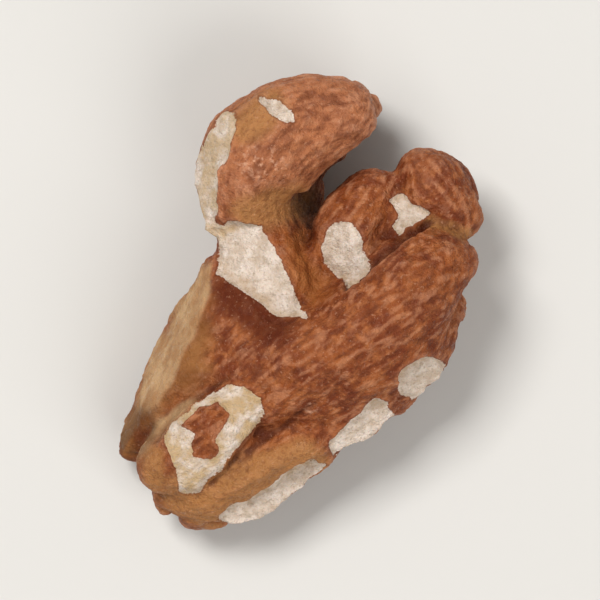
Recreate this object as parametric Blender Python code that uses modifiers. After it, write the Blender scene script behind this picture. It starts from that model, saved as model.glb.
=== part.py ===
"""One broken piece of a shelled walnut, built as the single solid that it is.

The piece is most of one kernel half: a curled end, a broad body, the lobes along the
body's edges, and the winding folds of the kernel's outer side, which it lies on. Each
fold is a sphere bent along a spine. A voxel remesh fuses the folds and leaves the
creases between them, and the places where the kernel broke are plane cuts through
single folds. +X runs across the piece, +Y along it towards the curled end, and +Z up.
The origin is the middle of the footprint, on the surface that the piece rests on.
"""

import math
from collections import namedtuple

import bmesh
import bpy
from mathutils import Matrix, Vector, geometry, noise

MM = 0.001

# Driving dimensions, in millimetres.
VOXEL = 0.36
TRIANGLES = 9000
REST_TRIM = 0.15  # how far the lowest folds are flattened where they touch the surface
SEGMENTS = 28
RINGS = 24

# The natural unevenness of the folds: the wavelength and depth of each scale.
UNEVENNESS = ((9.0, 0.60), (3.4, 0.34))
SEED = 2

# Where the kernel broke or rubbed flat: a point on the plane and its outward direction.
WALL = ((-5.5, 1.2, 10.0), (-0.874, 0.350, 0.338))
RIM = ((-6.4, 9.4, 8.6), (-0.95, 0.10, 0.29))
WAIST_BREAK = ((-2.2, 2.4, 9.5), (-0.25, 0.05, 0.97))
FINGER_BREAK = ((3.1, 3.3, 8.9), (-0.30, -0.32, 0.90))
WORN_TOP = ((-6.0, -9.4, 10.9), (-0.16, -0.10, 0.98))
FLAP_BREAK = ((-1.8, -14.4, 6.0), (0.36, -0.76, 0.54))

# A fold: the knots of its spine as (x, y, z, radius), the planes that cut it, how blunt
# its ends are from 0.35 (sausage) to 1 (spindle), and its height as a share of its width.
Fold = namedtuple("Fold", "spine cuts blunt tall", defaults=((), 0.5, 0.95))

BODY = (
    # The high ridge, from its broad end to where it runs out.
    Fold([(12.7, 3.0, 7.0, 2.2), (9.6, 1.6, 8.0, 3.7), (6.4, -1.7, 8.4, 3.6),
          (2.0, -4.4, 8.2, 3.8), (-3.0, -6.2, 7.6, 3.7), (-7.0, -8.4, 6.8, 2.6)]),
    # The shoulder below the ridge.
    Fold([(10.8, -1.8, 6.6, 2.2), (7.8, -2.4, 7.4, 3.6), (3.6, -4.8, 7.4, 3.9),
          (-1.0, -8.0, 6.6, 3.5)]),
    # The hollow side of the body, where the kernel split along its length.
    Fold([(-4.6, 2.8, 7.2, 2.6), (-5.2, -1.4, 7.3, 3.3), (-6.8, -5.2, 6.8, 3.4),
          (-9.6, -9.2, 5.4, 2.8)], (WALL,)),
    Fold([(-2.6, 2.2, 6.8, 2.6), (-2.6, -1.8, 7.3, 3.1), (-4.4, -5.0, 7.3, 3.3),
          (-7.4, -8.4, 6.4, 2.8)]),
    Fold([(-5.0, 0.6, 5.2, 2.4), (-7.4, -3.4, 4.6, 3.1), (-10.0, -7.2, 4.4, 3.1),
          (-12.4, -11.0, 4.2, 2.4)], (WALL,)),
    # The low flank under the shoulder.
    Fold([(11.0, -2.4, 5.2, 2.2), (7.4, -4.4, 5.5, 2.6), (3.7, -7.8, 5.8, 2.9),
          (-1.2, -10.8, 5.3, 2.5)]),
    # The inside of the body.
    Fold([(8.0, 1.6, 6.0, 3.0), (2.0, -2.4, 5.9, 3.6), (-4.0, -6.4, 5.6, 3.3),
          (-8.0, -9.6, 5.0, 2.4)]),
)

CURLED_END = (
    Fold([(-2.6, 4.2, 7.2, 3.0), (-3.1, 8.3, 8.3, 4.0), (-0.2, 11.3, 8.6, 4.2),
          (5.5, 13.1, 8.0, 2.8)], (RIM,), tall=0.88),
    Fold([(-2.4, 7.6, 6.4, 2.8), (-2.4, 3.6, 7.0, 3.0), (-1.2, 0.6, 7.4, 2.9),
          (1.6, -3.0, 7.0, 2.6)], (WAIST_BREAK, WALL)),
    Fold([(-2.4, 9.0, 5.2, 2.4), (-1.4, 4.4, 4.8, 2.8), (0.4, 0.6, 4.6, 2.8),
          (2.6, -2.4, 4.6, 2.4)]),
)

LOBES = (
    # The finger that stands beside the curl, and its knuckle.
    Fold([(2.4, -0.8, 6.0, 1.8), (3.5, 2.8, 7.1, 2.5), (4.8, 6.0, 7.0, 2.4),
          (6.1, 8.4, 6.4, 1.7)], (FINGER_BREAK,)),
    Fold([(7.4, 9.2, 5.2, 1.6), (8.8, 8.4, 6.0, 2.3), (10.2, 6.8, 6.3, 2.5),
          (11.8, 4.0, 5.8, 2.0)]),
    # The web between the finger, its knuckle and the ridge.
    Fold([(4.6, 1.0, 5.4, 2.2), (7.2, 4.2, 5.9, 2.6), (9.2, 4.8, 5.6, 2.5),
          (11.0, 3.2, 5.2, 1.8)]),
    # The worn lobe at the low end.
    Fold([(-10.2, -12.6, 6.0, 2.2), (-7.7, -11.1, 7.7, 2.8), (-4.8, -8.7, 8.7, 2.8),
          (-2.0, -6.2, 8.7, 1.9)], (WORN_TOP,)),
    # The flap below it.
    Fold([(-10.2, -13.2, 4.4, 2.0), (-6.4, -13.5, 5.2, 2.9), (-2.0, -12.1, 5.9, 3.2),
          (2.8, -9.2, 6.0, 2.9)], (FLAP_BREAK,)),
    # The knob at the right edge.
    Fold([(11.2, 0.4, 5.4, 1.8), (9.8, -1.8, 5.8, 2.2), (7.8, -4.4, 5.4, 2.3),
          (4.8, -7.0, 5.0, 2.0)]),
)

# The winding folds of the kernel's outer side, which faces down.
OUTER_SIDE = (
    Fold([(9.8, 3.4, 4.8, 2.0), (8.2, 0.4, 3.2, 2.2), (8.2, -2.6, 3.4, 2.1),
          (5.8, -4.8, 2.9, 2.1), (3.6, -7.8, 3.6, 2.0)]),
    Fold([(6.6, 4.8, 4.4, 2.2), (4.8, 1.6, 2.5, 2.1), (5.2, -1.6, 1.9, 2.1),
          (2.4, -3.6, 2.1, 2.1), (1.4, -6.4, 2.5, 2.1), (-1.2, -9.4, 3.0, 2.0)]),
    Fold([(1.6, 3.8, 4.0, 2.2), (1.4, 0.4, 2.7, 2.1), (-1.2, -1.8, 2.6, 2.1),
          (-1.0, -4.8, 2.5, 2.0), (-3.8, -6.8, 2.0, 2.1), (-3.6, -10.2, 2.5, 2.1),
          (-5.8, -12.8, 3.8, 2.0)]),
    Fold([(-3.2, 5.2, 4.2, 2.2), (-3.0, 1.6, 2.9, 2.2), (-5.0, -1.4, 2.9, 2.1),
          (-4.6, -4.4, 2.8, 2.0), (-7.2, -7.0, 2.5, 2.1), (-7.4, -10.6, 3.2, 2.1)]),
    Fold([(-6.4, -2.4, 4.0, 2.0), (-8.2, -5.0, 3.3, 2.0), (-10.0, -8.4, 3.0, 2.0),
          (-11.4, -10.8, 3.2, 1.6)], (WALL,)),
    Fold([(5.4, 13.0, 5.8, 2.0), (1.8, 12.0, 4.2, 3.0), (-0.8, 9.6, 2.7, 2.8),
          (-3.6, 8.8, 3.8, 2.6), (-5.0, 5.8, 4.6, 2.0)]),
    Fold([(-4.4, 12.2, 6.0, 2.2), (-1.8, 12.0, 4.4, 2.6), (-0.8, 7.2, 3.4, 2.6),
          (-1.2, 3.2, 3.2, 2.4)]),
)

# Each group of folds, with how many times it is smoothed before it meets the others.
GROUPS = ((BODY, 12), (CURLED_END, 6), (LOBES, 2), (OUTER_SIDE, 2))
LAST_SMOOTHING = 3


def along(knots, t):
    """The point of the Catmull-Rom curve through the knots at t from 0 to 1."""
    spans = len(knots) - 1
    place = min(max(t, 0.0) * spans, spans - 1e-6)
    i = int(place)
    u = place - i
    a, b, c, d = (Vector(knots[min(max(k, 0), spans)]) for k in range(i - 1, i + 3))
    bend = (2 * a - 5 * b + 4 * c - d) * u * u + (3 * b - a - 3 * c + d) * u ** 3
    return 0.5 * (2 * b + (c - a) * u + bend)


def add_fold(mesh, fold):
    """Adds one fold to the mesh: a sphere whose axis follows the fold's spine."""
    points = [knot[:3] for knot in fold.spine]
    radii = [(knot[3], 0.0) for knot in fold.spine]
    ball = bmesh.new()
    bmesh.ops.create_uvsphere(ball, u_segments=SEGMENTS, v_segments=RINGS, radius=1.0)
    for vertex in ball.verts:
        x, y, z = vertex.co
        ring = max(math.hypot(x, y), 1e-6)
        t = (1 + z) / 2
        ahead = (along(points, t + 0.02) - along(points, t - 0.02)).normalized()
        side = ahead.cross(Vector((0, 0, 1))).normalized()
        lift = side.cross(ahead)
        radius = along(radii, t).x * ring ** (fold.blunt - 1)
        vertex.co = along(points, t) + (side * x + lift * y * fold.tall) * radius
    for point, outward in fold.cuts:
        everything = ball.verts[:] + ball.edges[:] + ball.faces[:]
        cut = bmesh.ops.bisect_plane(ball, geom=everything, plane_co=point,
                                     plane_no=outward, clear_outer=True)
        rim = [part for part in cut["geom_cut"] if isinstance(part, bmesh.types.BMEdge)]
        bmesh.ops.edgeloop_fill(ball, edges=rim)
    bmesh.ops.recalc_face_normals(ball, faces=ball.faces)
    made = bpy.data.meshes.new("fold")
    ball.to_mesh(made)
    ball.free()
    mesh.from_mesh(made)
    bpy.data.meshes.remove(made)


def unevenness(place):
    """How far the natural unevenness moves a point."""
    moved = Vector()
    for wavelength, depth in UNEVENNESS:
        moved += noise.noise_vector(place / wavelength) * depth
    return moved


def applied(kernel):
    """Applies the modifiers of the object."""
    graph = bpy.context.evaluated_depsgraph_get()
    made = bpy.data.meshes.new_from_object(kernel.evaluated_get(graph))
    kernel.modifiers.clear()
    kernel.data = made


def fuse(kernel, smoothing):
    """Fuses what overlaps in the object into one skin, and smooths it."""
    remesh = kernel.modifiers.new("fuse", "REMESH")
    remesh.mode = "VOXEL"
    remesh.voxel_size = VOXEL * MM
    smooth = kernel.modifiers.new("smooth", "SMOOTH")
    smooth.iterations = smoothing
    applied(kernel)


def add_group(mesh, folds, smoothing, collection):
    """Adds a group of folds to the mesh, already fused and smoothed."""
    group = bmesh.new()
    for fold in folds:
        add_fold(group, fold)
    for vertex in group.verts:
        vertex.co = (vertex.co + unevenness(vertex.co)) * MM
    made = bpy.data.meshes.new("group")
    group.to_mesh(made)
    group.free()
    lump = bpy.data.objects.new("group", made)
    collection.objects.link(lump)
    fuse(lump, smoothing)
    mesh.from_mesh(lump.data)
    bpy.data.objects.remove(lump)


def keep_outer_skin(kernel):
    """Deletes the skins of any gaps that the folds closed off inside."""
    mesh = bmesh.new()
    mesh.from_mesh(kernel.data)
    reached = {max(mesh.verts, key=lambda vertex: vertex.co.z)}
    front = list(reached)
    while front:
        vertex = front.pop()
        for edge in vertex.link_edges:
            other = edge.other_vert(vertex)
            if other not in reached:
                reached.add(other)
                front.append(other)
    closed_off = [vertex for vertex in mesh.verts if vertex not in reached]
    bmesh.ops.delete(mesh, geom=closed_off, context="VERTS")
    mesh.to_mesh(kernel.data)
    mesh.free()


def centre_of_mass(mesh):
    """The centre of mass of a closed mesh of triangles, as a solid."""
    moment = Vector()
    volume = 0.0
    for face in mesh.faces:
        a, b, c = (vertex.co for vertex in face.verts)
        share = a.dot(b.cross(c))
        volume += share
        moment += (a + b + c) / 4 * share
    return moment / volume


def lay_down(kernel):
    """Turns the kernel onto the three folds that its weight settles it on."""
    solid = bmesh.new()
    solid.from_mesh(kernel.data)
    bmesh.ops.triangulate(solid, faces=solid.faces)
    centre = centre_of_mass(solid)
    solid.free()
    hull = bmesh.new()
    for vertex in kernel.data.vertices:
        hull.verts.new(vertex.co)
    bmesh.ops.convex_hull(hull, input=hull.verts)
    bmesh.ops.triangulate(hull, faces=hull.faces)
    hull.normal_update()
    resting = None
    for face in hull.faces:
        corners = [vertex.co for vertex in face.verts]
        below = centre - face.normal * (centre - corners[0]).dot(face.normal)
        lower = resting is None or face.normal.z < resting.z
        if lower and geometry.intersect_point_tri(below, *corners):
            resting = face.normal.copy()
    hull.free()
    turn = resting.rotation_difference(Vector((0, 0, -1)))
    kernel.data.transform(turn.to_matrix().to_4x4())


def flatten_contacts(kernel, cutters):
    """Flattens the folds that it rests on a little."""
    size = 60 * MM
    level = min(vertex.co.z for vertex in kernel.data.vertices) + REST_TRIM * MM
    bpy.ops.mesh.primitive_cube_add(size=size, location=(0, 0, level - size / 2))
    surface = bpy.context.object
    surface.name = "surface_cutter"
    surface.hide_render = True
    surface.display_type = "WIRE"
    for found in surface.users_collection:
        found.objects.unlink(surface)
    cutters.objects.link(surface)
    rest = kernel.modifiers.new("rest", "BOOLEAN")
    rest.operation = "DIFFERENCE"
    rest.object = surface
    applied(kernel)


def thin_out(kernel):
    """Brings the skin down to the triangles that its form needs."""
    kernel.data.calc_loop_triangles()
    thin = kernel.modifiers.new("thin", "DECIMATE")
    thin.ratio = TRIANGLES / len(kernel.data.loop_triangles)
    applied(kernel)
    kernel.data.shade_smooth()


def centre_footprint(kernel):
    """Moves the kernel so that the origin is the middle of its footprint."""
    low, high = (
        Vector([pick(vertex.co[axis] for vertex in kernel.data.vertices) for axis in range(3)])
        for pick in (min, max))
    middle = Vector(((low.x + high.x) / 2, (low.y + high.y) / 2, low.z))
    kernel.data.transform(Matrix.Translation(-middle))


def pellicle():
    """The kernel's brown skin."""
    made = bpy.data.materials.new("pellicle")
    made.use_nodes = True
    shader = made.node_tree.nodes["Principled BSDF"]
    shader.inputs["Base Color"].default_value = (0.27, 0.085, 0.032, 1.0)
    shader.inputs["Roughness"].default_value = 0.5
    shader.inputs["Metallic"].default_value = 0.0
    return made


noise.seed_set(SEED)
for found in list(bpy.data.objects):
    bpy.data.objects.remove(found)
parts = bpy.data.collections.new("walnut_kernel_parts")
cutters = bpy.data.collections.new("cutters")
bpy.context.scene.collection.children.link(parts)
bpy.context.scene.collection.children.link(cutters)

all_folds = bmesh.new()
for folds, smoothing in GROUPS:
    add_group(all_folds, folds, smoothing, parts)
kernel = bpy.data.objects.new("walnut_kernel", bpy.data.meshes.new("walnut_kernel"))
all_folds.to_mesh(kernel.data)
all_folds.free()
parts.objects.link(kernel)
fuse(kernel, LAST_SMOOTHING)
keep_outer_skin(kernel)
lay_down(kernel)
flatten_contacts(kernel, cutters)
thin_out(kernel)
centre_footprint(kernel)
kernel.data.materials.append(pellicle())
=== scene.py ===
import bmesh
import bpy
import numpy as np
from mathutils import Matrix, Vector, noise
from mathutils.bvhtree import BVHTree
from mathutils.kdtree import KDTree


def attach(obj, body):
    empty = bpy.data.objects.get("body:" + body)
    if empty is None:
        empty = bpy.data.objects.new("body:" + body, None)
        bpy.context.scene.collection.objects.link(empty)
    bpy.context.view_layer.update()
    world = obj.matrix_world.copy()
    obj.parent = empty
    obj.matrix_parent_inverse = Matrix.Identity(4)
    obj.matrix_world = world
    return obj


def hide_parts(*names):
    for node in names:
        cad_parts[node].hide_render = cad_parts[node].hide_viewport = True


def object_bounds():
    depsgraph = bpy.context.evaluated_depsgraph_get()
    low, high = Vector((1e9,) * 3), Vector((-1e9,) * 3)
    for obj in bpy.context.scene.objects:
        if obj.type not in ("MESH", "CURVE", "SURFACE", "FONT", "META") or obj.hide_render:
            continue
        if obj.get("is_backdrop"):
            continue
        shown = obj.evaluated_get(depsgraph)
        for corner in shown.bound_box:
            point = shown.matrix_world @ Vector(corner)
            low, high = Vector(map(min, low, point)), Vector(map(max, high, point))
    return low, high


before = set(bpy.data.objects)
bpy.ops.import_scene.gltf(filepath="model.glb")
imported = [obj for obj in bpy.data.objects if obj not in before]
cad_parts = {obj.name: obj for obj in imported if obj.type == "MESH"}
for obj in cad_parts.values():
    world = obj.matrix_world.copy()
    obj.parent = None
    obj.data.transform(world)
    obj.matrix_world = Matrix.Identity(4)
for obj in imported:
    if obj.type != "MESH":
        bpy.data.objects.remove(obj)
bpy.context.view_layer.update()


# ---- The walnut kernel -----------------------------------------------------------------
# Most of one half of a walnut's seed: firm, oily, cream flesh under a papery brown skin. It
# grew in winding folds against the inside of its shell and dried hard, then broke and
# rubbed through when it was knocked out of the shell.

# Its form is the solid's, on a fine even mesh, with the folds drawn a little tighter. All
# sizes and places of the kernel are in millimetres.
MM = 0.001
WELD_GAP = 0.0001
MESH_SIZE = 0.165
FACET_SOFTENING = 10
FOLD_REACH = 45  # rounds of evening out that tell a fold from the form under it
FOLD_GAIN = 0.55

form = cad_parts["walnut_kernel"]
kernel = bpy.data.objects.new("kernel", form.data.copy())
bpy.context.scene.collection.objects.link(kernel)
welded = bmesh.new()
welded.from_mesh(kernel.data)
bmesh.ops.remove_doubles(welded, verts=welded.verts, dist=WELD_GAP * MM)
welded.to_mesh(kernel.data)
welded.free()
fine = kernel.modifiers.new("fine_mesh", "REMESH")
fine.mode = "VOXEL"
fine.voxel_size = MESH_SIZE * MM
soften = kernel.modifiers.new("soften_facets", "SMOOTH")
soften.iterations = FACET_SOFTENING
graph = bpy.context.evaluated_depsgraph_get()
kernel.data = bpy.data.meshes.new_from_object(kernel.evaluated_get(graph))
kernel.data.name = "kernel"
kernel.data.materials.clear()
kernel.modifiers.clear()
kernel.data.shade_smooth()

count = len(kernel.data.vertices)
points = np.empty(count * 3, np.float32)
kernel.data.vertices.foreach_get("co", points)
points = points.reshape(-1, 3).astype(float) / MM
edges = np.empty(len(kernel.data.edges) * 2, np.int32)
kernel.data.edges.foreach_get("vertices", edges)
edges = edges.reshape(-1, 2)
edges_at_point = np.bincount(edges.ravel(), minlength=count)
faces = np.empty(len(kernel.data.loops), np.int32)
kernel.data.loops.foreach_get("vertex_index", faces)
faces = faces.reshape(-1, 4)


def evened(values, rounds):
    """The values at the points, each evened out with its neighbours' so many times."""
    values = np.array(values, float)
    columns = values.reshape(count, -1).T.copy()
    for _ in range(rounds):
        for column in columns:
            total = np.bincount(edges[:, 0], column[edges[:, 1]], count)
            total += np.bincount(edges[:, 1], column[edges[:, 0]], count)
            column += 0.5 * (total / edges_at_point - column)
    return columns.T.reshape(values.shape)


def outward():
    """The direction in which the surface faces at each point."""
    corners = points[faces]
    across = np.cross(corners[:, 2] - corners[:, 0], corners[:, 3] - corners[:, 1])
    total = np.stack([np.bincount(faces.ravel(), np.repeat(across[:, axis], 4), count)
                      for axis in range(3)], axis=1)
    return total / np.linalg.norm(total, axis=1, keepdims=True)


def lumps(places, size, octaves, shift):
    """Random lumps of this size: a height from about -1 to 1 at each place. The shift
    keeps one kind of lump from falling on top of another."""
    return np.array([noise.fractal(place, 0.9, 2.1, octaves)
                     for place in (places / size + shift).tolist()])


def step(values, low, high):
    """0 where the values are below low, 1 above high, and a smooth rise between."""
    t = np.clip((values - low) / (high - low), 0.0, 1.0)
    return t * t * (3 - 2 * t)


points += FOLD_GAIN * (points - evened(points, FOLD_REACH))
facing = outward()

# The surface runs with the folds: fine fibres and shallow wrinkles lie along each fold,
# drawn in as the kernel dried. Each run is the middle line of a fold.
FOLD_RUNS = {
    "curl": ((-2.0, 2.6, 7.5), (-3.0, 8.0, 8.3), (-0.4, 11.2, 8.6), (5.5, 13.2, 8.0)),
    "finger": ((2.2, 1.2, 6.5), (3.9, 4.8, 7.4), (5.9, 8.2, 6.6)),
    "knuckle": ((8.4, 9.4, 5.6), (10.2, 6.8, 6.4), (11.8, 4.4, 5.8)),
    "body": ((-13.0, -11.0, 6.0), (13.5, 3.4, 6.0)),
    "end_lobe": ((-10.2, -12.4, 7.0), (-4.8, -8.7, 8.9), (-2.2, -6.4, 9.4)),
    "flap": ((-10.0, -13.6, 5.0), (-4.4, -12.8, 5.4), (1.8, -8.4, 5.6)),
    "outer_side": ((-7.0, -12.0, -2.0), (0.0, -2.0, -2.5), (3.0, 12.0, -2.0)),
}
FIBRE_STRETCH = 3.6
KNOT_GAP = 0.25
KNOTS_EVENED = 13  # odd, so that the evened line keeps its place
SHIFT_PER_RUN = 17.0


def spaced_run(knots):
    """Points close together along a run, with the direction and distance at each."""
    knots = np.array(knots)
    spans = np.linalg.norm(np.diff(knots, axis=0), axis=1)
    reached = np.concatenate(([0.0], np.cumsum(spans)))
    at = np.arange(0.0, reached[-1], KNOT_GAP)
    line = np.stack([np.interp(at, reached, knots[:, axis]) for axis in range(3)], axis=1)
    blur = np.ones(KNOTS_EVENED) / KNOTS_EVENED
    ends = KNOTS_EVENED // 2
    padded = np.pad(line, ((ends, ends), (0, 0)), mode="edge")
    line = np.stack([np.convolve(padded[:, axis], blur, "valid") for axis in range(3)], axis=1)
    along = np.gradient(line, axis=0)
    return line, along / np.linalg.norm(along, axis=1, keepdims=True), at


to_nearest_run = np.full(count, np.inf)
run_of = np.zeros(count, int)
fibre_place = np.zeros((count, 3))
for order, knots in enumerate(FOLD_RUNS.values()):
    line, along, at = spaced_run(knots)
    gap = np.full(count, np.inf)
    knot_of = np.zeros(count, int)
    for index, knot in enumerate(line):
        distance = np.linalg.norm(points - knot, axis=1)
        closer = distance < gap
        gap[closer] = distance[closer]
        knot_of[closer] = index
    offset = points - line[knot_of]
    forward = np.einsum("ij,ij->i", offset, along[knot_of])
    side = np.cross(along[knot_of], (0.0, 0.0, 1.0))
    side /= np.linalg.norm(side, axis=1, keepdims=True)
    lift = np.cross(side, along[knot_of])
    place = np.stack([(at[knot_of] + forward) / FIBRE_STRETCH,
                      np.einsum("ij,ij->i", offset, side),
                      np.einsum("ij,ij->i", offset, lift)], axis=1) + SHIFT_PER_RUN * order
    closer = gap < to_nearest_run
    to_nearest_run[closer] = gap[closer]
    run_of[closer] = order
    fibre_place[closer] = place[closer]

fibres = lumps(fibre_place, 0.42, 3, 0.0)
wrinkles = lumps(fibre_place, 1.25, 2, 40.0)
crinkles = lumps(points, 0.62, 3, 31.0)
swells = lumps(points, 2.6, 2, 9.0)
VEIN_WIDTH = 0.06
veins = np.exp(-(lumps(points, 2.8, 3, 23.0) / VEIN_WIDTH) ** 2)

# The shell's inside pressed winding furrows into the outer side and the flanks, but not
# into the smooth face along which the two halves of the seed lay together.
FURROW_SPACING = 4.6
FURROW_SWING = 0.9
FURROW_WIDTH = 0.10
FURROW_DEPTH = 0.75
FOLD_SWELL = 0.40
FLANK_SHARE = 0.15  # of the furrows' depth, left where the flanks reach the upper folds
SPLIT_FACE = np.array((-0.87, 0.35, 0.34))
swing = FURROW_SWING * np.stack([swells, -swells, swells], axis=1)
winding = lumps(points + swing, FURROW_SPACING, 1, 5.0)
furrow = np.exp(-(winding / FURROW_WIDTH) ** 2)
outer = 1 - step(evened(facing[:, 2], 30), -0.05, 0.45)
outer *= 1 - step(evened(facing, 20) @ SPLIT_FACE, 0.30, 0.65)
outer *= step(points[:, 2], 0.1, 1.2)
outer *= 1 - (1 - FLANK_SHARE) * step(points[:, 2], 4.6, 7.6)
fold_relief = FOLD_SWELL * step(np.abs(winding), 0.04, 0.34) - FURROW_DEPTH * furrow
points += (fold_relief * outer)[:, None] * facing
furrow *= outer
facing = outward()

# Where it broke: nearly flat faces of bare cream flesh, a skin's thickness below the skin
# round them, with ragged edges. Each outline is given as seen from above.
BREAKS = {
    "waist": ((-5.9, 4.6), (-5.0, 5.4), (-2.6, 5.1), (-1.7, 3.5), (-0.8, 1.5), (-0.2, 0.1),
              (0.5, -1.2), (-0.5, -1.1), (-1.7, -1.1), (-3.0, -0.1), (-4.2, 0.9),
              (-5.3, 1.5), (-6.1, 1.7), (-5.7, 3.3)),
    "curl_rim": ((-4.5, 13.0), (-4.5, 11.8), (-5.1, 10.2), (-5.7, 8.7), (-5.9, 7.2),
                 (-5.8, 5.8), (-5.0, 4.9), (-5.8, 4.4), (-6.6, 4.2), (-7.6, 6.0),
                 (-7.6, 9.2), (-6.6, 11.4), (-5.3, 13.2)),
    "curl_scuff": ((-2.9, 14.1), (-1.7, 13.8), (-0.5, 12.9), (-0.4, 12.3), (-1.5, 12.6),
                   (-2.6, 13.3)),
    "finger_end": ((1.4, 3.7), (1.7, 4.8), (2.4, 5.4), (3.5, 5.3), (4.2, 4.6), (4.4, 3.5),
                   (4.8, 2.8), (4.1, 1.9), (3.4, 1.0), (2.6, 1.6), (1.7, 2.6)),
    "finger_scuff": ((6.1, 7.0), (7.1, 7.4), (8.2, 6.5), (9.0, 6.0), (7.8, 5.2),
                     (6.7, 4.4), (6.4, 5.1), (6.9, 5.9)),
    "end_ring": ((-9.5, -9.4), (-8.1, -7.8), (-6.5, -6.7), (-5.0, -5.9), (-3.9, -5.9),
                 (-2.8, -6.9), (-2.6, -7.9), (-3.4, -9.3), (-4.6, -10.7), (-5.8, -12.0),
                 (-6.4, -12.6), (-7.0, -13.5), (-8.4, -13.4), (-8.6, -12.5),
                 (-8.9, -11.1), (-9.5, -9.9)),
    "right_scuff": ((6.9, -5.7), (7.1, -4.8), (8.2, -4.2), (9.3, -4.1), (10.3, -4.3),
                    (9.8, -5.4), (8.9, -6.4), (7.8, -6.9), (7.1, -6.6)),
    "low_edge": ((2.1, -9.8), (3.0, -8.9), (4.2, -7.8), (5.1, -6.9), (6.2, -7.1),
                 (6.6, -8.2), (5.4, -9.5), (4.1, -10.6), (2.6, -11.2), (2.1, -10.5)),
    "flap_rim": ((-5.7, -15.0), (-5.0, -14.5), (-3.0, -13.7), (-1.7, -12.6),
                 (-0.6, -11.8), (0.8, -11.1), (1.8, -11.5), (1.3, -13.2), (-1.4, -15.2),
                 (-4.6, -16.6), (-5.6, -16.2)),
}
# How flat a break is, how far it leans back to face up, how yellow its flesh has gone,
# and about how low it reaches down the kernel's side.
PLAIN_BREAK = (0.8, 0.0, 0.1, 0.0)
BREAK_FACES = {
    "curl_rim": (0.75, 0.2, 0.6, 5.2),
    "end_ring": (0.5, 0.0, 0.8, 5.0),
    "flap_rim": (0.9, 1.6, 0.1, 4.0),
    "right_scuff": (0.85, 0.9, 0.1, 6.0),
    "low_edge": (0.85, 0.8, 0.1, 5.2),
}
# The patch of skin that is left in the middle of the end lobe's ring-shaped break.
RING_ISLAND = ((-8.4, -8.7), (-7.0, -7.4), (-5.7, -6.9), (-4.8, -8.0), (-5.4, -8.9),
               (-5.9, -9.7), (-5.6, -10.6), (-6.2, -11.1), (-7.4, -10.9), (-7.5, -9.9),
               (-7.3, -9.3))
FOOT_WAVER = 0.8
RUBBED_SHARE = 0.035  # of the outer side, on the crests of its folds
RUBBED_STEEPNESS = 2.2
NOT_BROKEN = -2.0
TORN_WIDTH = 0.3
TORN_EVENING = 0.8
ragged = 0.24 * lumps(points, 1.3, 2, 3.0) + 0.06 * lumps(points, 0.42, 2, 71.0)


def inside(outline):
    """How far each point lies inside an outline in plan, negative outside it."""
    outline = np.array(outline)
    plan = points[:, :2]
    gap = np.full(count, np.inf)
    crossings = np.zeros(count, int)
    for start, end in zip(outline, np.roll(outline, -1, axis=0)):
        span = end - start
        share = np.clip((plan - start) @ span / (span @ span), 0.0, 1.0)
        gap = np.minimum(gap, np.linalg.norm(plan - start - share[:, None] * span, axis=1))
        level = (start[1] > plan[:, 1]) != (end[1] > plan[:, 1])
        reach = start[0] + (plan[:, 1] - start[1]) * span[0] / (span[1] or 1e-9)
        crossings += level & (plan[:, 0] < reach)
    return np.where(crossings % 2 == 1, gap, -gap)


def flatten(depth, share, lean):
    """Moves a break's points towards the plane that fits them, leaned back to face up."""
    core = depth > 0.1
    middle = points[core].mean(axis=0)
    normal = np.linalg.svd(points[core] - middle, full_matrices=False)[2][2]
    normal *= np.sign(normal @ facing[core].mean(axis=0))
    normal = normal + (0.0, 0.0, lean)
    normal /= np.linalg.norm(normal)
    height = (points - middle) @ normal
    points[:] -= (height * share * step(depth, -0.15, 0.5))[:, None] * normal


# What faces up with nothing above it. An outline seen from above marks only that.
tree = BVHTree.FromPolygons(points.tolist(), faces.tolist())
up = Vector((0, 0, 1))
seen = np.zeros(count)
for index, (point, normal) in enumerate(zip(points, facing)):
    lifted = Vector(point) + Vector(normal) * 0.1
    seen[index] = normal[2] > 0.05 and tree.ray_cast(lifted, up)[0] is None
shade = 2.0 * (1 - evened(seen, 4))
in_the_open = 1 - step(shade, 0.2, 1.0)

bare = np.full(count, NOT_BROKEN)
yellowed = np.zeros(count)
for name, outline in BREAKS.items():
    share, lean, yellow, foot = BREAK_FACES.get(name, PLAIN_BREAK)
    above_foot = FOOT_WAVER * (points[:, 2] - foot) + FOOT_WAVER * swells
    depth = np.minimum(inside(outline) - shade, above_foot) + ragged
    flatten(depth, share, lean)
    bare = np.maximum(bare, depth)
    yellowed = np.maximum(yellowed, yellow * step(depth, -0.6, 0.0))
island = inside(RING_ISLAND) - shade + 0.8 * ragged
bare = np.minimum(bare, -island)
rubbing = lumps(points, 3.1, 2, 61.0) + 0.5 * step(np.abs(winding), 0.06, 0.34)
start_of_rubbing = np.quantile(rubbing[outer > 0.8], 1 - RUBBED_SHARE)
rubbed = RUBBED_STEEPNESS * (rubbing - start_of_rubbing) - 3.0 * (1 - step(outer, 0.3, 0.8))
bare = np.maximum(bare, rubbed + 0.4 * ragged)
bare = np.clip(bare, -1.0, 1.0)
torn_border = TORN_EVENING * np.exp(-(bare / TORN_WIDTH) ** 2)
points += torn_border[:, None] * (evened(points, 5) - points)

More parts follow.
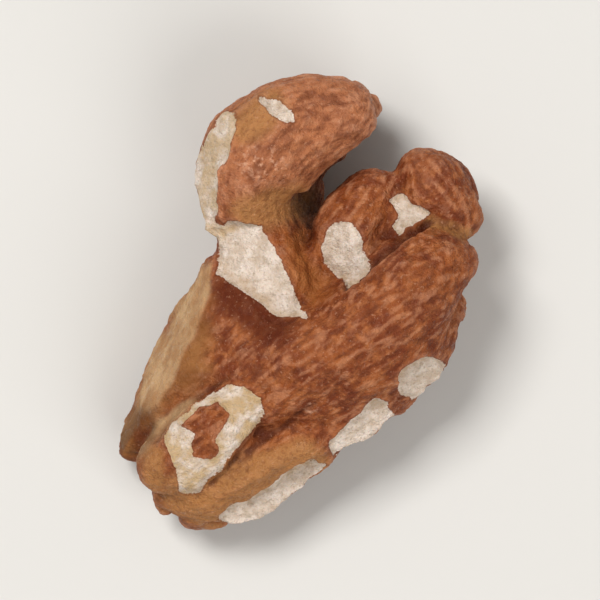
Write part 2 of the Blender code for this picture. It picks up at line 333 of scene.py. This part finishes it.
# Its skin, the pellicle, lies tight over the folds and is wrinkled along them. It has a
# curled lip where it tore. These are the creases where the ridge is pressed against the
# lobes beside it, and finer ones round the end lobe: the two ends of each, seen from
# above, and how far it reaches from the line between them.
TIGHT_CREASES = (((3.2, 0.9), (4.9, 2.5), 0.36), ((4.9, 2.5), (6.9, 4.3), 0.36),
                 ((6.9, 4.3), (8.8, 5.3), 0.34))
FINE_CREASES = (((-2.3, -8.0), (-4.4, -10.9), 0.26), ((-4.4, -10.9), (-6.2, -12.9), 0.26),
                ((-3.6, -10.6), (-1.2, -8.9), 0.24), ((-1.2, -8.9), (0.8, -7.4), 0.24),
                ((-10.2, -9.8), (-8.4, -7.5), 0.30), ((-8.4, -7.5), (-5.0, -5.5), 0.30))
CREASE_DEPTH = 0.42
FINE_CREASE_SHARE = 0.4
SKIN_DEPTH = 0.10
LIP_HEIGHT = 0.05
LIP_PLACE = -0.12
LIP_WIDTH = 0.10
ISLAND_DEPTH = 0.30


def beside(runs, raggedness=1.2):
    """1 at the runs, falling to 0 as far from them as they reach."""
    share = np.zeros(count)
    for start, end, reach in runs:
        start = np.array(start)
        span = np.array(end) - start
        along = np.clip((points[:, :2] - start) @ span / (span @ span), 0.0, 1.0)
        gap = np.linalg.norm(points[:, :2] - start - along[:, None] * span, axis=1)
        share = np.maximum(share, 1 - step(gap + raggedness * ragged, 0.3 * reach, reach))
    return share * in_the_open


facing = outward()
flesh = step(bare, -0.04, 0.06)
lip = np.exp(-((bare - LIP_PLACE) / LIP_WIDTH) ** 2)
grain = lumps(points, 0.36, 2, 51.0)
chips = lumps(points, 1.1, 3, 91.0)
pits = step(lumps(points, 0.75, 2, 77.0), 0.34, 0.5)
on_skin = 0.05 * fibres + 0.09 * wrinkles + 0.05 * crinkles + 0.045 * veins
on_skin += 0.15 * swells - 0.05 * pits
in_flesh = SKIN_DEPTH - 0.06 * grain - 0.12 * chips
pressed = evened(beside(TIGHT_CREASES, 0.3), 2)
pressed = np.maximum(pressed, FINE_CREASE_SHARE * evened(beside(FINE_CREASES, 0.3), 2))
relief = (1 - flesh) * on_skin + LIP_HEIGHT * lip - flesh * in_flesh
relief -= ISLAND_DEPTH * step(island, -0.1, 0.6) + CREASE_DEPTH * pressed
above_floor = step(points[:, 2], 0.05, 0.6)
points += (relief * above_floor)[:, None] * facing
points[:, 2] = np.maximum(points[:, 2], 0.0)
facing = outward()

# How the skin's colour changes over the kernel. It is paler where it was stretched and left
# thinner beside a break, and in the smooth channel along the split face. On the neck between
# the waist and the finger it is paler, partly its tone and partly painted light in the valley
# there, and at the ridge's top end a painted highlight lies on it. Painted glints lie in
# flecks on two of the crowns. Painted shade darkens it below the waist, at the left tip and
# in the hollows. Outlines and runs are seen from above.
CHANNEL = ((-6.3, 1.6), (-6.0, -1.6), (-5.4, -4.2), (-5.2, -5.6), (-8.2, -7.3),
           (-10.0, -9.4), (-11.2, -11.4), (-14.0, -12.0), (-11.6, -5.0), (-8.0, 0.0))
NECK = ((-2.2, 5.4), (0.4, 5.2), (1.0, 3.0), (2.4, 1.4), (2.2, -0.4), (0.6, -1.2), (-0.6, 1.2))
# Paler skin, stretched beside breaks; the run at the ridge's top end, from (9.2, 5.4) to (11.4,
# 4.6), is a painted highlight.
THIN_SKIN_AND_HIGHLIGHT = (((-3.8, 12.0), (-2.0, 13.4), 1.8), ((-3.4, 6.0), (-0.2, 6.8), 1.9),
             ((-8.4, -13.4), (0.2, -11.0), 2.0), ((-8.6, -13.6), (-5.0, -15.4), 2.2),
             ((-5.6, -14.8), (1.0, -11.6), 1.7), ((9.2, 5.4), (11.4, 4.6), 0.8),
             ((-10.4, -10.8), (-10.0, -12.8), 1.1))
# Painted shade: runs where the skin is darkened below the waist and at the left tip.
PAINTED_SHADE_RUNS = (((-4.9, 0.4), (-2.0, -1.8), 1.9), ((-11.2, -8.8), (-12.8, -11.2), 2.0))
# Painted glints: pale pinkish flecks on two of the crowns, where the light catches them.
PAINTED_GLINT_RUNS = (((-3.4, 9.7), (-1.9, 9.2), 1.6), ((0.7, -7.5), (1.5, -7.1), 0.6))
LOBE_EDGE = (-10.8, -10.6)  # a point on the line where the end lobe meets the split face
LOBE_SIDE = (-0.68, 0.73)  # square to that line, away from the lobe
SKY_RAYS = 40
SKY_REACH = 5.0
SKY_START = 0.15
SKY_SAMPLING = 10
SKY_BLEND = 3


def open_sky():
    """How much of what surrounds it each place sees, from 0 to 1."""
    turn = np.arange(SKY_RAYS) * np.pi * (3 - 5 ** 0.5)
    height = 1 - (np.arange(SKY_RAYS) + 0.5) * 2 / SKY_RAYS
    ring = np.sqrt(1 - height ** 2)
    rays = np.stack([ring * np.cos(turn), ring * np.sin(turn), height], axis=1)
    around = BVHTree.FromPolygons(points.tolist(), faces.tolist())
    samples = np.arange(0, count, SKY_SAMPLING)
    finder = KDTree(len(samples))
    sky_there = {}
    for index in samples:
        finder.insert(points[index], int(index))
        weights = rays @ facing[index]
        start = Vector(points[index] + facing[index] * SKY_START)
        free = sum(weight for weight, ray in zip(weights, rays) if weight > 0
                   and around.ray_cast(start, Vector(ray), SKY_REACH)[0] is None)
        sky_there[int(index)] = free / weights[weights > 0].sum()
    finder.balance()
    nearby = [finder.find_n(place, SKY_BLEND) for place in points.tolist()]
    return evened([sum(sky_there[found[1]] for found in near) / SKY_BLEND
                   for near in nearby], 6)


hollow = np.einsum("ij,ij->i", evened(points, 17) - points, facing)
wide_hollow = np.einsum("ij,ij->i", evened(points, 110) - points, facing)
calm = evened(facing, 22)
calm /= np.linalg.norm(calm, axis=1, keepdims=True)
wall = step(calm @ SPLIT_FACE + 0.10 * swells, 0.76, 0.95)
wall *= step(-points[:, 0], 4.5, 5.5) * step(3.0 - points[:, 1], 0.0, 1.0)
wall *= step((points[:, :2] - LOBE_EDGE) @ LOBE_SIDE, -0.4, 0.5)
wall *= step(points[:, 2] + 1.4 * swells, 0.9, 3.2)
channel = step(inside(CHANNEL) + 0.8 * swells, -0.3, 1.5) * in_the_open * (1 - wall)
# The neck is painted lighter, partly its tone and partly painted light in its valley; the painted
# shade is lifted there.
neck = step(inside(NECK) + 0.5 * swells, -0.2, 1.0) * in_the_open
on_curl = (run_of == list(FOLD_RUNS).index("curl")) * step(points[:, 1], 4.0, 8.0)
# crease marks the hollows, which get painted shade.
crease = 0.5 * step(hollow, 0.01, 0.09) + 0.5 * step(wide_hollow, 0.05, 0.4)
# crest marks the bulges, which get a painted highlight.
crest = 0.5 * step(-hollow, 0.02, 0.09) + 0.5 * step(-wide_hollow, 0.10, 0.34)
kept_for_material = {
    "bare": bare, "fibres": fibres, "veins": veins, "furrow": furrow,
    # Painted shade where the surface sees little of its surroundings, and in the hollows.
    "deep": (1 - step(open_sky(), 0.06, 0.54)) * (1 - 0.75 * neck),
    "crease": crease * (1 - 0.8 * neck), "crest": crest, "pressed": pressed,
    "wall": wall, "channel": channel, "neck": neck, "curl": on_curl,
    "thin": beside(THIN_SKIN_AND_HIGHLIGHT), "painted_shade": beside(PAINTED_SHADE_RUNS), "painted_glints": beside(PAINTED_GLINT_RUNS, 0.5),
    "yellowed": yellowed,
}
for name, values in kept_for_material.items():
    attribute = kernel.data.attributes.new(name, "FLOAT", "POINT")
    attribute.data.foreach_set("value", np.ascontiguousarray(values, np.float32))
kernel.data.vertices.foreach_set("co", (points * MM).astype(np.float32).ravel())
kernel.data.update()

# One material for the skin and the flesh, which are grown together.
skin_and_flesh = bpy.data.materials.new("walnut_skin_and_flesh")
skin_and_flesh.use_nodes = True
nodes = skin_and_flesh.node_tree.nodes
links = skin_and_flesh.node_tree.links
shader = nodes["Principled BSDF"]


def linear(red, green, blue):
    """A colour for a shader, from its values from 0 to 255."""
    return tuple((value / 255) ** 2.2 for value in (red, green, blue)) + (1.0,)


def feed(socket, value):
    """Gives a socket another node's output, or a plain value."""
    if isinstance(value, bpy.types.NodeSocket):
        links.new(value, socket)
    else:
        socket.default_value = value


def add(kind, settings, **inputs):
    """A node of the kernel's material, with its named inputs fed."""
    made = nodes.new("ShaderNode" + kind)
    for name, value in settings.items():
        setattr(made, name, value)
    for name, value in inputs.items():
        feed(made.inputs[name], value)
    return made


def maths(operation, *values):
    made = add("Math", {"operation": operation})
    for socket, value in zip(made.inputs, values):
        feed(socket, value)
    return made.outputs[0]


def blend(share, first, second):
    """The first colour where share is 0, the second where it is 1."""
    mix = add("Mix", {"data_type": "RGBA"})
    for socket, value in ((mix.inputs[0], share), (mix.inputs[6], first), (mix.inputs[7], second)):
        feed(socket, value)
    return mix.outputs[2]


def layered(colour, layers):
    """A colour with others laid over it: where each lies, how strongly, and its colour."""
    for where, strength, over in layers:
        over = over if isinstance(over, bpy.types.NodeSocket) else linear(*over)
        colour = blend(maths("MULTIPLY", where, strength), colour, over)
    return colour


def between(value, low, high):
    """0 below low, 1 above high, and a smooth rise between."""
    return add("MapRange", {"interpolation_type": "SMOOTHSTEP"}, Value=value,
               **{"From Min": low, "From Max": high}).outputs[0]


def kept(name):
    """A number that is kept for each point of the surface."""
    return add("Attribute", {"attribute_name": name}).outputs["Fac"]


on_kernel = add("TexCoord", {}).outputs["Object"]


def cloud(size, detail, roughness=0.55):
    """Soft random patches of this size, from 0 to 1."""
    return add("TexNoise", {}, Vector=on_kernel, Scale=1 / (size * MM), Detail=detail,
               Roughness=roughness).outputs["Fac"]


patches = cloud(2.4, 4.0)
mottle = cloud(0.8, 5.0, 0.6)
blotches = cloud(1.4, 3.0, 0.6)
specks = cloud(0.24, 2.0)
grains = cloud(0.34, 3.0, 0.6)
flecks = cloud(0.42, 2.0)

# The brown of the skin, from the first tone up to the painted glints on top.
brown = blend(between(patches, 0.38, 0.64), linear(112, 51, 22), linear(144, 78, 38))
# Painted highlight on the crests, partly rubbed lighter skin, stronger on the curl.
crowns = maths("MULTIPLY", kept("crest"), maths("ADD", 0.3, maths("MULTIPLY", kept("curl"), 0.5)))
# painted glints in flecks on the crowns
painted_glints = maths("MULTIPLY", kept("painted_glints"), between(flecks, 0.50, 0.72))
brown = layered(brown, (
    (between(mottle, 0.42, 0.74), 0.8, (172, 104, 60)),
    # The upper curl is paler: partly its own tone, partly a painted highlight where it faces the
    # light.
    (kept("curl"), 0.5, (186, 122, 86)),
    (between(blotches, 0.56, 0.70), 0.55, (104, 48, 26)),
    (between(kept("fibres"), 0.0, 0.6), 0.40, (194, 134, 98)),
    (between(kept("fibres"), 0.0, -0.6), 0.52, (92, 43, 21)),
    (kept("veins"), 0.38, (90, 42, 22)),
    # Painted shade in the furrows.
    (kept("furrow"), 0.55, (80, 36, 17)),
    # painted highlight on the crests
    (crowns, 1.0, (196, 136, 104)),
    # paler, thinner skin, and a painted highlight at the ridge's top end
    (kept("thin"), 0.75, (168, 118, 70)),
    # painted shade below the waist and at the left tip
    (kept("painted_shade"), 0.85, (86, 34, 12)),
    # painted shade in the creases
    (kept("crease"), 0.8, (84, 38, 20)),
    (between(grains, 0.50, 0.34), 0.35, (96, 45, 24)),
    # Painted glints: tiny pale specks on the skin.
    (between(specks, 0.60, 0.74), 0.28, (208, 156, 124)),
    # painted glints
    (painted_glints, 0.7, (216, 164, 134)),
))

# The smooth skin: straw on the split face, olive in the channel, amber on the neck. Painted
# shade darkens the tight creases and the deepest places over all of them.
straw = blend(between(patches, 0.35, 0.65), linear(166, 124, 84), linear(196, 160, 118))
straw = layered(straw, ((between(kept("fibres"), 0.0, -0.6), 0.22, (146, 102, 64)),
                        # painted shade on the split face as well
                        (kept("painted_shade"), 0.85, (100, 66, 38))))
olive = blend(between(patches, 0.4, 0.6), linear(124, 78, 38), linear(146, 98, 54))
amber = blend(between(patches, 0.4, 0.6), linear(146, 82, 40), linear(168, 104, 56))
brown = layered(brown, ((kept("channel"), 0.85, olive),
                        # Painted light: the amber neck is partly the skin's tone, partly light
                        # painted over the valley's shade.
                        (kept("neck"), 0.75, amber),
                        (kept("wall"), 0.9, straw),
                        # painted shade in the tight creases
                        (kept("pressed"), 0.7, (66, 26, 10)),
                        (kept("deep"), 0.8, (50, 20, 8))))

# The cream of the flesh, yellowed in patches where it has been bare for longest, with painted
# shade in its creases and deep places.
cream = blend(between(mottle, 0.34, 0.66), linear(190, 171, 154), linear(220, 205, 193))
cream = layered(cream, ((kept("yellowed"), between(blotches, 0.36, 0.60), (182, 150, 104)),
                        (between(specks, 0.55, 0.67), 0.55, (160, 142, 122)),
                        (kept("crease"), 0.5, (160, 126, 84)),
                        (kept("deep"), 0.6, (120, 84, 52))))

# The torn edge of the skin wavers a little, and is darker just behind it.
EDGE_WAVER = 0.22
waver = maths("MULTIPLY", maths("SUBTRACT", cloud(0.18, 3.0), 0.5), EDGE_WAVER)
edge = maths("ADD", kept("bare"), waver)
torn = maths("MULTIPLY", between(edge, -0.16, -0.03),
             maths("SUBTRACT", 1.0, between(edge, -0.02, 0.02)))
brown = layered(brown, ((torn, 0.45, (104, 54, 28)),))
flesh_share = between(edge, -0.025, 0.025)
links.new(blend(flesh_share, brown, cream), shader.inputs["Base Color"])

# The skin is oily in small patches. The flesh and the skin under painted shade are dull.
DRY_SKIN = 0.62
OILY_GLOSS = 0.34
DULLNESS = 0.2
oily = between(cloud(0.5, 3.0), 0.50, 0.66)
skin_roughness = maths("SUBTRACT", DRY_SKIN, maths("MULTIPLY", oily, OILY_GLOSS))
dull = maths("MULTIPLY", maths("MAXIMUM", flesh_share, kept("painted_shade")), DULLNESS)
links.new(maths("ADD", skin_roughness, dull), shader.inputs["Roughness"])
shader.inputs["Specular IOR Level"].default_value = 0.22
shader.inputs["Subsurface Weight"].default_value = 0.12
shader.inputs["Subsurface Radius"].default_value = (1.0, 0.5, 0.25)
shader.inputs["Subsurface Scale"].default_value = 0.6 * MM

pores = maths("ADD", cloud(0.16, 2.0), maths("MULTIPLY", cloud(0.45, 3.0), 1.2))
bump = add("Bump", {}, Strength=0.9, Distance=0.16 * MM, Height=pores)
links.new(bump.outputs[0], shader.inputs["Normal"])
kernel.data.materials.append(skin_and_flesh)

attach(kernel, "root")
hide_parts("walnut_kernel")


# ---- The floor -------------------------------------------------------------------------
# A plain pale studio sweep: a flat round floor that turns up smoothly into a low wall all
# round, in one seamless sheet.

FLOOR_RADIUS = 0.9
TURN_UP = 0.35
WALL_TOP = 0.75
TURN_STEPS = 12
AROUND = 96
PALE_GREY = (0.62, 0.61, 0.59, 1.0)
FLOOR_ROUGHNESS = 0.8

profile = [(0.0, 0.0), (FLOOR_RADIUS / 2, 0.0)]
for index in range(TURN_STEPS + 1):
    angle = index / TURN_STEPS * np.pi / 2
    profile.append((FLOOR_RADIUS + TURN_UP * np.sin(angle), TURN_UP * (1 - np.cos(angle))))
profile.append((FLOOR_RADIUS + TURN_UP, WALL_TOP))
sheet = bmesh.new()
line = [sheet.verts.new((across, 0.0, height)) for across, height in profile]
line_edges = [sheet.edges.new(pair) for pair in zip(line, line[1:])]
bmesh.ops.spin(sheet, geom=line + line_edges, cent=(0, 0, 0), axis=(0, 0, 1),
               angle=2 * np.pi, steps=AROUND)
bmesh.ops.remove_doubles(sheet, verts=sheet.verts, dist=1e-5)
bmesh.ops.recalc_face_normals(sheet, faces=sheet.faces)
floor = bpy.data.objects.new("floor", bpy.data.meshes.new("floor"))
sheet.to_mesh(floor.data)
sheet.free()
floor.data.shade_smooth()
bpy.context.scene.collection.objects.link(floor)
pale_sweep = bpy.data.materials.new("pale_sweep")
pale_sweep.use_nodes = True
sweep_shader = pale_sweep.node_tree.nodes["Principled BSDF"]
sweep_shader.inputs["Base Color"].default_value = PALE_GREY
sweep_shader.inputs["Roughness"].default_value = FLOOR_ROUGHNESS
floor.data.materials.append(pale_sweep)
floor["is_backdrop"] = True


# ---- The light and the camera ----------------------------------------------------------
# A large soft lamp from the upper left, a weaker one from the lower right, and a camera
# that looks straight down.

WARM_WHITE = (1.0, 0.985, 0.96)
SOFT_ROOM_LIGHT = (1.0, 0.985, 0.965, 1.0)
ROOM_LIGHT_STRENGTH = 0.28
LAMP_DISTANCE = 1.0
KERNEL_MIDDLE = Vector((0.0, 0.0, 0.006))
FRAME_SIDE = 0.042
CAMERA_HEIGHT = 0.42
SENSOR_WIDTH = 36.0


def soft_lamp(name, direction, size, power):
    """A square soft lamp that looks at the kernel."""
    lamp = bpy.data.objects.new(name, bpy.data.lights.new(name, "AREA"))
    lamp.data.size = size
    lamp.data.energy = power
    lamp.data.color = WARM_WHITE
    lamp.location = KERNEL_MIDDLE + Vector(direction).normalized() * LAMP_DISTANCE
    lamp.rotation_euler = (lamp.location - KERNEL_MIDDLE).to_track_quat("Z", "Y").to_euler()
    bpy.context.scene.collection.objects.link(lamp)


soft_lamp("key", (-0.4, 0.42, 1.0), 0.36, 8.7)
soft_lamp("fill", (0.6, -0.7, 0.9), 0.7, 5.4)
world = bpy.data.worlds.new("studio")
world.use_nodes = True
world.node_tree.nodes["Background"].inputs["Color"].default_value = SOFT_ROOM_LIGHT
world.node_tree.nodes["Background"].inputs["Strength"].default_value = ROOM_LIGHT_STRENGTH
bpy.context.scene.world = world
bpy.context.scene.view_settings.view_transform = "Standard"

kernel_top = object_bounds()[1][2]
camera = bpy.data.objects.new("camera", bpy.data.cameras.new("camera"))
camera.location = (0.0, 0.0, CAMERA_HEIGHT)
camera.data.sensor_width = SENSOR_WIDTH
camera.data.lens = SENSOR_WIDTH * (CAMERA_HEIGHT - kernel_top / 2) / FRAME_SIDE
camera.data.clip_start = 0.01
bpy.context.scene.collection.objects.link(camera)
bpy.context.scene.camera = camera
